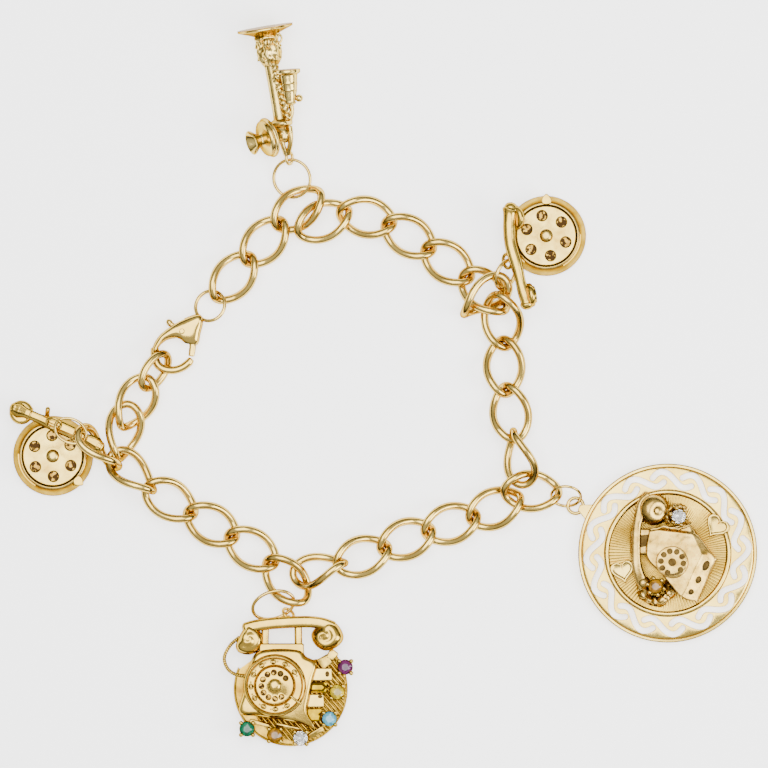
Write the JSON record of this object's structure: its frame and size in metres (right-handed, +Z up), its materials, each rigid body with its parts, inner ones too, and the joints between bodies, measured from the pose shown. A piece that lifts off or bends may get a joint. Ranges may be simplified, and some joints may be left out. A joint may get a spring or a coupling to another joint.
{
  "type": "charm bracelet",
  "caption": "Open curb chain bracelet with a lobster clasp and telephone charms on jump rings, some with working dials and small coloured stones.",
  "frame": {"origin": "centre of the bracelet's outline on the floor that it lies on", "axes": "+Z up from the floor, +Y to the candlestick telephone, +X to the disc charm"},
  "size_m": [0.106, 0.1026, 0.0078],
  "materials": {
    "chain_gold": "polished 14 carat yellow gold wire",
    "clasp_gold": "polished 14 carat yellow gold casting",
    "charm_gold": "cast 14 carat yellow gold, polished on the high places and satin in the low ones",
    "blue_stone": "cut and polished stone",
    "clear_stone": "cut and polished stone",
    "green_stone": "cut and polished stone",
    "orange_stone": "cut and polished stone",
    "purple_stone": "cut and polished stone",
    "yellow_stone": "cut and polished stone"
  },
  "bodies": {
    "bracelet": {"link_01": "chain_gold", "link_02": "chain_gold", "link_03": "chain_gold", "link_04": "chain_gold", "link_05": "chain_gold", "link_06": "chain_gold", "link_07": "chain_gold", "link_08": "chain_gold", "link_09": "chain_gold", "link_10": "chain_gold", "link_11": "chain_gold", "link_12": "chain_gold", "link_13": "chain_gold", "link_14": "chain_gold", "link_15": "chain_gold", "link_16": "chain_gold", "link_17": "chain_gold", "link_18": "chain_gold", "link_19": "chain_gold", "link_20": "chain_gold", "link_21": "chain_gold", "link_22": "chain_gold", "link_23": "chain_gold", "link_24": "chain_gold", "link_25": "chain_gold", "link_26": "chain_gold", "link_27": "chain_gold", "link_28": "chain_gold", "ring_clasp": "chain_gold", "ring_candlestick": "chain_gold", "ring_round_right": "chain_gold", "ring_disc": "chain_gold", "ring_desk": "chain_gold", "ring_round_left": "chain_gold", "clasp_body": "clasp_gold", "candlestick": "charm_gold", "round_right_phone": "charm_gold", "round_left_phone": "charm_gold", "disc_charm": "charm_gold", "desk_phone": "charm_gold", "stone_desk_blue": "blue_stone", "stone_desk_clear": "clear_stone", "stone_desk_green": "green_stone", "stone_desk_orange": "orange_stone", "stone_desk_purple": "purple_stone", "stone_desk_yellow": "yellow_stone", "stone_disc_clear": "clear_stone", "stone_disc_orange": "orange_stone"},
    "clasp_lever": {"clasp_lever": "clasp_gold"},
    "round_right_dial": {"round_right_dial": "charm_gold"},
    "round_left_dial": {"round_left_dial": "charm_gold"},
    "desk_dial": {"desk_dial": "charm_gold"}
  },
  "joints": [
    {"name": "clasp_lever_hinge", "type": "hinge", "parent": "bracelet", "child": "clasp_lever", "pos_m": [-0.02858, 0.00756, 0.00147], "axis": [0, 0, 1], "range_deg": [-22, 0], "stiffness_Nm_per_rad": 0.002, "springref_deg": 17.19},
    {"name": "round_right_dial_turn", "type": "hinge", "parent": "bracelet", "child": "round_right_dial", "pos_m": [0.02308, 0.02111, 0.00222], "axis": [0, 0, 1], "continuous": true},
    {"name": "round_left_dial_turn", "type": "hinge", "parent": "bracelet", "child": "round_left_dial", "pos_m": [-0.04688, -0.01011, 0.00222], "axis": [0, 0, 1], "continuous": true},
    {"name": "desk_dial_turn", "type": "hinge", "parent": "bracelet", "child": "desk_dial", "pos_m": [-0.0154, -0.04261, 0.00442], "axis": [0, 0, 1], "continuous": true}
  ]
}
